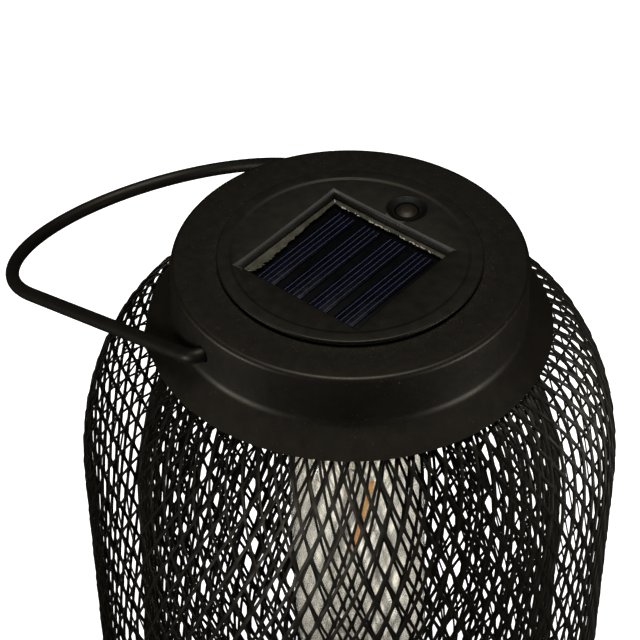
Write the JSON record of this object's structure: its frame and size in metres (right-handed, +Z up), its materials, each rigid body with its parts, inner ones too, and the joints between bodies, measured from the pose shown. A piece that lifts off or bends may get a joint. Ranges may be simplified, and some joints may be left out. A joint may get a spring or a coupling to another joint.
{
  "type": "solar lantern",
  "caption": "Solar lantern: round steel cap with a drop-in solar module and tubular filament lamp, double expanded-metal barrel and a folding wire bail.",
  "frame": {"origin": "centre of the base pad's underside, the flat face the lantern stands on", "axes": "+Z up through the cap, X along the bail's pivot axis, +Y towards the side on which the bail lies folded"},
  "size_m": [0.1634, 0.2285, 0.2422],
  "materials": {
    "black_paint": "satin black powder coat",
    "mesh_paint": "satin black powder coat",
    "black_plastic": "fine moulded texture",
    "silicon": "dark blue silicon with silver fingers",
    "clear_resin": "poured clear resin",
    "clear_glass": "clear blown glass",
    "amber_phosphor": "silicone phosphor coat",
    "nickel_plate": "nickel plate",
    "zinc_steel": "zinc plate",
    "pad_rubber": "fine foam",
    "board_black": "solder mask",
    "board_green": "solder mask",
    "battery_wrap": "shrink wrap",
    "red_cable": "cable jacket",
    "black_cable": "cable jacket"
  },
  "bodies": {
    "cage": {"base_pad": "pad_rubber", "base_pan": "black_paint", "base_ring": "black_paint", "outer_mesh": "mesh_paint", "inner_mesh": "mesh_paint", "neck_ring": "black_paint", "cap_shell": "black_paint", "cap_collar": "black_paint"},
    "handle": {"handle_bail": "black_paint", "handle_washer_left": "zinc_steel", "handle_washer_right": "zinc_steel"},
    "module": {"module_gasket": "pad_rubber", "module_top": "black_plastic", "panel_board": "board_black", "solar_cell_1": "silicon", "solar_cell_2": "silicon", "solar_cell_3": "silicon", "solar_cell_4": "silicon", "panel_resin": "clear_resin", "module_cover": "black_plastic", "cover_screw_1": "zinc_steel", "cover_screw_2": "zinc_steel", "cover_screw_3": "zinc_steel", "circuit_board": "board_green", "switch_body": "board_black", "control_chip": "board_black", "power_inductor": "board_green", "battery_cell": "battery_wrap", "battery_cradle": "black_plastic", "battery_plate": "nickel_plate", "battery_spring": "nickel_plate", "lamp_lead_positive": "red_cable", "lamp_lead_negative": "black_cable", "lamp_holder": "black_plastic", "bulb_cap": "nickel_plate", "bulb_glass": "clear_glass", "glass_stem": "clear_glass", "led_filament": "amber_phosphor", "filament_wire_short": "nickel_plate", "filament_wire_long": "nickel_plate"},
    "button": {"switch_button": "black_plastic"}
  },
  "joints": [
    {"name": "handle_hinge", "type": "hinge", "parent": "cage", "child": "handle", "pos_m": [0, 0, 0.2307], "axis": [1, 0, 0], "range_deg": [0, 227]},
    {"name": "module_lift", "type": "slide", "parent": "cage", "child": "module", "axis": [0, 0, 1], "range_m": [0, 0.175]},
    {"name": "button_press", "type": "slide", "parent": "module", "child": "button", "axis": [0, 0, -1], "range_m": [0, 0.001], "stiffness_N_per_m": 400, "springref_m": -0.001}
  ]
}
